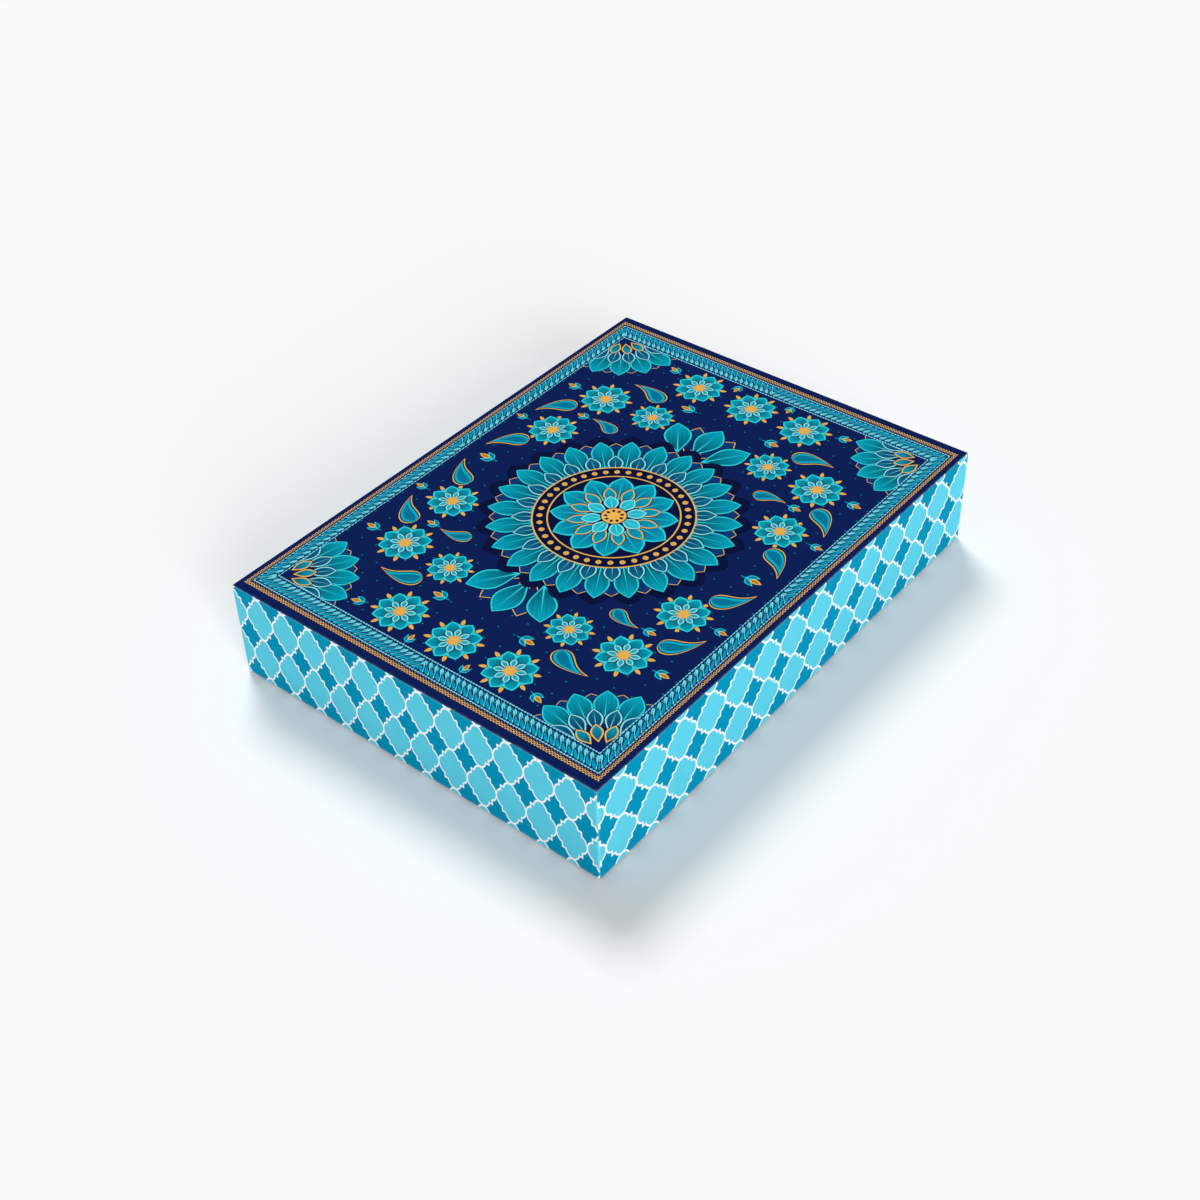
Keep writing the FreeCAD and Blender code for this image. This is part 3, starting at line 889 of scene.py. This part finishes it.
# %% Trellis finish
LINE_HALF = 0.052
band_print = start_finish("printed_trellis", specular=PRINT_GLOSS)
band_tree = band_print.tree
sheet_map = band_tree.nodes.new("ShaderNodeUVMap")
sheet_map.uv_map = "trellis"
tile_count, row_count, _ = Reading(sheet_map.outputs["UV"]).parts()
tiles = place_group(band_tree, trellis_group, {
    "Across": tile_count,
    "Down": row_count,
    "Line": LINE_HALF,
})
fibres = fibres_of(band_print, PRINT_GRAIN)
band_color = overprint(ink("tile gap"), ink("tile"), tiles["Tile"])
band_color = overprint(band_color, ink("teal"), fibres["Cloud"] * PRINT_CLOUD)
band_color = overprint(band_color, ink("paper white"), tiles["Line"])
band_finish = end_print(band_print, band_color, fibres)
print("printed trellis:", len(band_tree.nodes), "nodes")

# %% [markdown]
# ## Sheets for the print
#
# The wrap carries two prints: the picture on top and the trellis on the sides. It is made here as two
# sheets, a label and a band, so that each print has a map of its own. Both come from one rounded skin: a
# cube without its floor, whose folds are bevelled to the paper's radius.

# %% Round the skin
FOLD_RADIUS = 0.001
FOLD_STEPS = 6
LOOKS_DOWN = -0.9
wrap_low, wrap_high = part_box("lid_printed_wrap")
wrap_size = wrap_high - wrap_low
skin = bmesh.new()
skin_place = Matrix.Translation((wrap_low + wrap_high) / 2) @ Matrix.Diagonal((*wrap_size, 1.0))
bmesh.ops.create_cube(skin, size=1.0, matrix=skin_place)
skin.normal_update()
open_side = [face for face in skin.faces if face.normal.z < LOOKS_DOWN]
bmesh.ops.delete(skin, geom=open_side, context="FACES_ONLY")
folds = [edge for edge in skin.edges if len(edge.link_faces) == 2]
bmesh.ops.bevel(
    skin, geom=folds, offset=FOLD_RADIUS, offset_type="OFFSET", segments=FOLD_STEPS,
    profile=0.5, affect="EDGES", material=-1, clamp_overlap=True,
)
skin.normal_update()
print("skin:", len(skin.faces), "faces with folds of", MM * FOLD_RADIUS, "mm")

# %% [markdown]
# The label keeps the faces that look up. It gets the paper's thickness inwards, so that it is a closed
# sheet, and a flat map for its print. The hidden back of the sheet is folded away into a thin strip of
# that map.

# %% Top label
PAPER = 0.0002
MAP_EDGE = 0.004
MAP_BACK = 0.03


def faces_up(face):
    """Whether a face looks up more than sideways."""
    return face.normal.z > max(abs(face.normal.x), abs(face.normal.y))


def placed(name, data):
    """Makes an object of the given data and puts it into the scene."""
    made = bpy.data.objects.new(name, data)
    bpy.context.scene.collection.objects.link(made)
    return made


def finished_piece(name, bm, material, body, replaced):
    """Turns a bmesh into a piece with crisp shading that rides on a body and stands for a node."""
    mesh = bpy.data.meshes.new(name)
    bm.to_mesh(mesh)
    bm.free()
    mesh.shade_smooth()
    mesh.materials.append(material)
    piece = placed(name, mesh)
    piece.modifiers.new("Flat faces stay flat", "WEIGHTED_NORMAL")
    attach(piece, body)
    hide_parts(replaced)
    return piece


label = skin.copy()
label.normal_update()
bmesh.ops.delete(label, geom=[face for face in label.faces if not faces_up(face)], context="FACES")
printed = set(label.faces)
bmesh.ops.solidify(label, geom=label.faces[:], thickness=PAPER)
bake_map = label.loops.layers.uv.new("OFBake")
for face in label.faces:
    for loop in face.loops:
        share_x = (loop.vert.co.x - wrap_low.x) / wrap_size.x
        share_y = (loop.vert.co.y - wrap_low.y) / wrap_size.y
        if face in printed:
            share_y = MAP_BACK + share_y * (1 - MAP_BACK - MAP_EDGE)
        else:
            share_y = MAP_EDGE + share_y * (MAP_BACK - 3 * MAP_EDGE)
        loop[bake_map].uv = (MAP_EDGE + share_x * (1 - 2 * MAP_EDGE), share_y)
piece = finished_piece("lid_top_label", label, panel_finish, "lid", "lid_printed_wrap")
print("top label:", len(piece.data.polygons), "faces")

# %% [markdown]
# The band keeps the other faces. Its lower edge is extruded under the wall and then up inside, as the
# paper is glued round the raw board. Moving the hem's new corners onto the inner outline draws the mitres
# by itself.

# %% Side band
LINER_GAP = 0.0001
TOUCH = 1e-6
liner_low, liner_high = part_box("lid_wall_liner")
HEM = wrap_high.x - (liner_high.x - PAPER)
TURN_IN = liner_low.z - LINER_GAP - wrap_low.z
band = skin
bmesh.ops.delete(band, geom=[face for face in band.faces if faces_up(face)], context="FACES")


def extruded_rim(bm):
    """Extrudes the open edges at the bottom of the band and returns the new corners."""
    rim = [
        edge for edge in bm.edges
        if len(edge.link_faces) == 1 and all(abs(vert.co.z - wrap_low.z) < TOUCH for vert in edge.verts)
    ]
    result = bmesh.ops.extrude_edge_only(bm, edges=rim)
    return [item for item in result["geom"] if isinstance(item, bmesh.types.BMVert)]


inner = Vector((wrap_high.x - HEM, wrap_high.y - HEM))
hem_verts = extruded_rim(band)
for vert in hem_verts:
    vert.co.x = max(-inner.x, min(inner.x, vert.co.x))
    vert.co.y = max(-inner.y, min(inner.y, vert.co.y))
bmesh.ops.remove_doubles(band, verts=hem_verts, dist=TOUCH)
bmesh.ops.translate(band, verts=extruded_rim(band), vec=(0, 0, TURN_IN))
bmesh.ops.recalc_face_normals(band, faces=band.faces[:])
print("side band: hem", round(MM * HEM, 2), "mm, turn-in", round(MM * TURN_IN, 2), "mm")

# %% [markdown]
# Two maps follow the sheet on each side of the box. The trellis starts on a tile's middle at one corner
# of the short sides, and about thirteen tiles fill such a side. On the long sides they are a quarter
# wider. A point's way down the sheet is counted over the wall, under the hem and up the turn-in.

# %% Sides of the band
Trellis = namedtuple("Trellis", "first_tile tile_pitch first_row row_pitch")
TRELLIS_LONG = Trellis(first_tile=0.0124, tile_pitch=0.0172, first_row=0.0120, row_pitch=0.0188)
TRELLIS_SHORT = Trellis(first_tile=-0.0003, tile_pitch=0.01385, first_row=0.0110, row_pitch=0.01985)
Side = namedtuple("Side", "row axis way pattern")
SIDES = {
    "front": Side(0, 0, 1, TRELLIS_LONG),
    "right": Side(1, 1, 1, TRELLIS_SHORT),
    "back": Side(2, 0, -1, TRELLIS_LONG),
    "left": Side(3, 1, -1, TRELLIS_SHORT),
}
WALL = wrap_high.z - wrap_low.z
SHEET = WALL + HEM + TURN_IN


def side_of(face):
    """The side of the box that a face of the band belongs to."""
    middle = face.calc_center_median()
    if face.normal.z < LOOKS_DOWN:
        on_short = wrap_high.x - abs(middle.x) < wrap_high.y - abs(middle.y)
    else:
        on_short = abs(face.normal.x) > abs(face.normal.y)
    if on_short:
        return SIDES["right" if middle.x > 0 else "left"]
    return SIDES["back" if middle.y > 0 else "front"]


def sheet_down(face, point, side):
    """How far down the sheet a point of the band lies, from the top edge and round the hem."""
    outward = 1 - side.axis
    if face.normal.z < LOOKS_DOWN:
        return WALL + min(wrap_high[outward] - abs(point[outward]), HEM)
    if face.normal[outward] * point[outward] < 0:
        return WALL + HEM + point.z - wrap_low.z
    return wrap_high.z - point.z


print("sheet:", round(MM * SHEET, 1), "mm of paper from the top edge to the lip")

# %% [markdown]
# The trellis map counts tiles and rows. The bake map lays the four sides in four rows, and the hidden
# back of the paper in a thin strip beside them. Then the paper gets its thickness, as the label did.

# %% Map the band
band.normal_update()
trellis_map = band.loops.layers.uv.new("trellis")
bake_map = band.loops.layers.uv.new("OFBake")
for face in band.faces:
    side = side_of(face)
    length = wrap_size[side.axis]
    for loop in face.loops:
        along = side.way * loop.vert.co[side.axis] + length / 2
        down = sheet_down(face, loop.vert.co, side)
        loop[trellis_map].uv = (
            (along - side.pattern.first_tile) / side.pattern.tile_pitch,
            (down - side.pattern.first_row) / side.pattern.row_pitch,
        )
        loop[bake_map].uv = (
            MAP_EDGE + along / length * (1 - MAP_BACK - 2 * MAP_EDGE),
            (side.row + MAP_BACK + down / SHEET * (1 - 2 * MAP_BACK)) / len(SIDES),
        )
printed = set(band.faces)
bmesh.ops.solidify(band, geom=band.faces[:], thickness=PAPER)
for face in band.faces:
    if face not in printed:
        for loop in face.loops:
            u, v = loop[bake_map].uv
            loop[bake_map].uv = (1 - MAP_BACK + u * (MAP_BACK - MAP_EDGE), v)
piece = finished_piece("lid_side_band", band, band_finish, "lid", "lid_printed_wrap")
print("side band:", len(piece.data.polygons), "faces")

# %% [markdown]
# ## Plain papers and boards
#
# The rest of the box keeps its true solids. Greyboard is pressed waste paper with dark flecks. Kraft tape
# holds the corners. The tray has a plain blue paper, white liners and greaseproof where sweets lie. They
# differ in inks, grain, roughness and relief, so one function makes them all.

# %% Paper finishes
PAPER_GLOSS = 0.25
CLOUD_CONTRAST = 1.6
CLOUD_START = 0.4
FIBRE_SHADE = 0.3
FLECK_SHARE = 0.7
ROUGHNESS_SPREAD = 0.2


def paper_finish(name, base, shade, grain, roughness, height, fleck=None, specular=PAPER_GLOSS):
    """A plain paper: a base ink, a cloudy second ink, fibres and, for board, flecks."""
    finish = start_finish(name, specular)
    fibres = fibres_of(finish, grain)
    clouds = (fibres["Cloud"] * CLOUD_CONTRAST - CLOUD_START).inked(1.0)
    color = overprint(ink(base), ink(shade), clouds)
    color = overprint(color, ink(shade), fibres["Relief"] * FIBRE_SHADE)
    if fleck is not None:
        color = overprint(color, ink(fleck), fibres["Fleck"] * FLECK_SHARE)
    relief = fibres["Relief"]
    return end_finish(finish, color, relief * ROUGHNESS_SPREAD + roughness, relief, height)


greyboard = paper_finish("greyboard", "greyboard", "card core", 2.2, 0.78, 0.00012, fleck="board fleck")
kraft_tape = paper_finish("kraft_tape", "kraft", "kraft shade", 2.6, 0.55, 0.00008)
tray_paper = paper_finish("tray_paper", "tray blue", "tray shade", 3.0, 0.42, 0.00006)
liner_paper = paper_finish("liner_paper", "liner white", "liner shade", 3.0, 0.62, 0.00006)
greaseproof = paper_finish(
    "greaseproof", "greaseproof", "greaseproof shade", 1.4, 0.28, 0.00006, specular=0.4
)
print("papers: greyboard, kraft tape, tray paper, liner and greaseproof")

# %% [markdown]
# The divider is duplex card: white faces over a grey core that shows on every cut edge. The surface's own
# direction tells face from edge, because the strips lie square to the box.

# %% Divider card finish
CARD_GRAIN = 2.4
CARD_ROUGHNESS = 0.5
CARD_RELIEF = 0.00006
CORE_FLECK = 0.6
FACE_CLOUD = 0.5
FACE_FEATHER = 0.2


def card_finish(name, axis):
    """White-lined card whose faces look along the given axis, with a grey core on the cut edges."""
    finish = start_finish(name, PAPER_GLOSS)
    coordinates = finish.tree.nodes.new("ShaderNodeTexCoord")
    normal = Reading(coordinates.outputs["Normal"]).parts()
    on_face = (abs(normal[axis]) - 0.5).inked(FACE_FEATHER)
    fibres = fibres_of(finish, CARD_GRAIN)
    core = overprint(ink("card core"), ink("board fleck"), fibres["Fleck"] * CORE_FLECK)
    face = overprint(ink("card white"), ink("liner shade"), fibres["Cloud"] * FACE_CLOUD)
    color = overprint(core, face, on_face)
    roughness = fibres["Relief"] * ROUGHNESS_SPREAD + CARD_ROUGHNESS
    return end_finish(finish, color, roughness, fibres["Relief"], CARD_RELIEF)


long_card = card_finish("divider_card_long", axis=1)
cross_card = card_finish("divider_card_cross", axis=0)
print("cards:", long_card.name, "and", cross_card.name)

# %% [markdown]
# Now every solid gets its paper. The words in a node's name tell what it is made of, so the longest word
# of a short table that fits chooses the finish.

# %% Dress the nodes
FINISHES = {
    "board": greyboard,
    "wall": greyboard,
    "stays": kraft_tape,
    "wrap": tray_paper,
    "paper": tray_paper,
    "top_liner": liner_paper,
    "floor_liner": greaseproof,
    "wall_liner": liner_paper,
    "long_strip": long_card,
    "cross_strip": cross_card,
}
for name, node in nodes.items():
    words = [word for word in FINISHES if word in name]
    node.data.materials.clear()
    node.data.materials.append(FINISHES[max(words, key=len)])
print("dressed:", len(nodes), "nodes")

# %% [markdown]
# ## Table, light and camera
#
# The box stands on a plain white table, as in a product photo. It is one large sheet without any gloss,
# so that it runs into the white room without a visible edge.

# %% Table
FLOOR_SIZE = 40.0
FLOOR_WHITE = 0.94
FLOOR_ROUGHNESS = 0.9
floor_mesh = bmesh.new()
bmesh.ops.create_grid(floor_mesh, x_segments=1, y_segments=1, size=FLOOR_SIZE / 2)
floor_data = bpy.data.meshes.new("table")
floor_mesh.to_mesh(floor_data)
floor_mesh.free()
table = placed("table", floor_data)

table_material = bpy.data.materials.new("table_white")
table_material.use_nodes = True
table_shader = table_material.node_tree.nodes["Principled BSDF"]
plug(FLOOR_ROUGHNESS, table_shader.inputs["Roughness"])
plug(0.0, table_shader.inputs["Specular IOR Level"])
plug((FLOOR_WHITE, FLOOR_WHITE, FLOOR_WHITE, 1.0), table_shader.inputs["Base Color"])
floor_data.materials.append(table_material)
print("table:", FLOOR_SIZE, "m across")

# %% [markdown]
# Two broad suns stand for soft lamps, one from overhead and behind, one from in front, and the room is
# evenly white. Together they add up to about one unit of light on the top and on the long side, so inks
# show as they are written. Rays from the camera and from shiny faces see the room at full white.

# %% Room and lamps
ROOM_LIGHT = 0.36
room = bpy.data.worlds.new("white_room")
bpy.context.scene.world = room
room.use_nodes = True
room_tree = room.node_tree
room_path = room_tree.nodes.new("ShaderNodeLightPath")
room_seen = Reading(room_path.outputs["Is Camera Ray"])
for ray in ("Is Glossy Ray", "Is Transmission Ray"):
    room_seen = room_seen.larger(room_path.outputs[ray])
background = room_tree.nodes["Background"]
plug((1.0, 1.0, 1.0, 1.0), background.inputs["Color"])
plug(room_seen * (1 - ROOM_LIGHT) + ROOM_LIGHT, background.inputs["Strength"])

Lamp = namedtuple("Lamp", "name direction spread share")
LAMPS = (
    Lamp("overhead", Vector((0.95, 1.35, 2.00)), 22, 0.58),
    Lamp("front", Vector((-1.35, -2.45, 1.10)), 30, 0.58),
)
for lamp in LAMPS:
    data = bpy.data.lights.new(lamp.name, "SUN")
    data.angle = math.radians(lamp.spread)
    data.energy = lamp.share * math.pi
    light = placed(lamp.name, data)
    light.rotation_mode = "QUATERNION"
    light.rotation_quaternion = (-lamp.direction).to_track_quat("-Z", "Y")
print("lamps:", [lamp.name for lamp in LAMPS])

# %% [markdown]
# The camera's place, lens and small roll were worked out from the visible corners of the box in the
# photo, so that the picture and the photo can be laid over each other.

# %% Camera
CAMERA_PLACE = Vector((-0.4372, -0.3606, 0.4766))
CAMERA_AIM = Vector((-0.0232, -0.0110, 0.0220))
CAMERA_LENS = 54.42
CAMERA_ROLL = math.radians(-1.93)
camera_data = bpy.data.cameras.new("camera")
camera_data.lens = CAMERA_LENS
camera = placed("camera", camera_data)
camera.location = CAMERA_PLACE
camera.rotation_mode = "QUATERNION"
camera_look = (CAMERA_AIM - CAMERA_PLACE).to_track_quat("-Z", "Y")
camera.rotation_quaternion = camera_look @ Quaternion((0, 0, 1), CAMERA_ROLL)
bpy.context.scene.camera = camera
bpy.context.scene.view_settings.view_transform = "Standard"
print("camera:", round((CAMERA_AIM - CAMERA_PLACE).length, 3), "m from the box")

# %% [markdown]
# ## Size
#
# The dressed box must keep the frame's size.
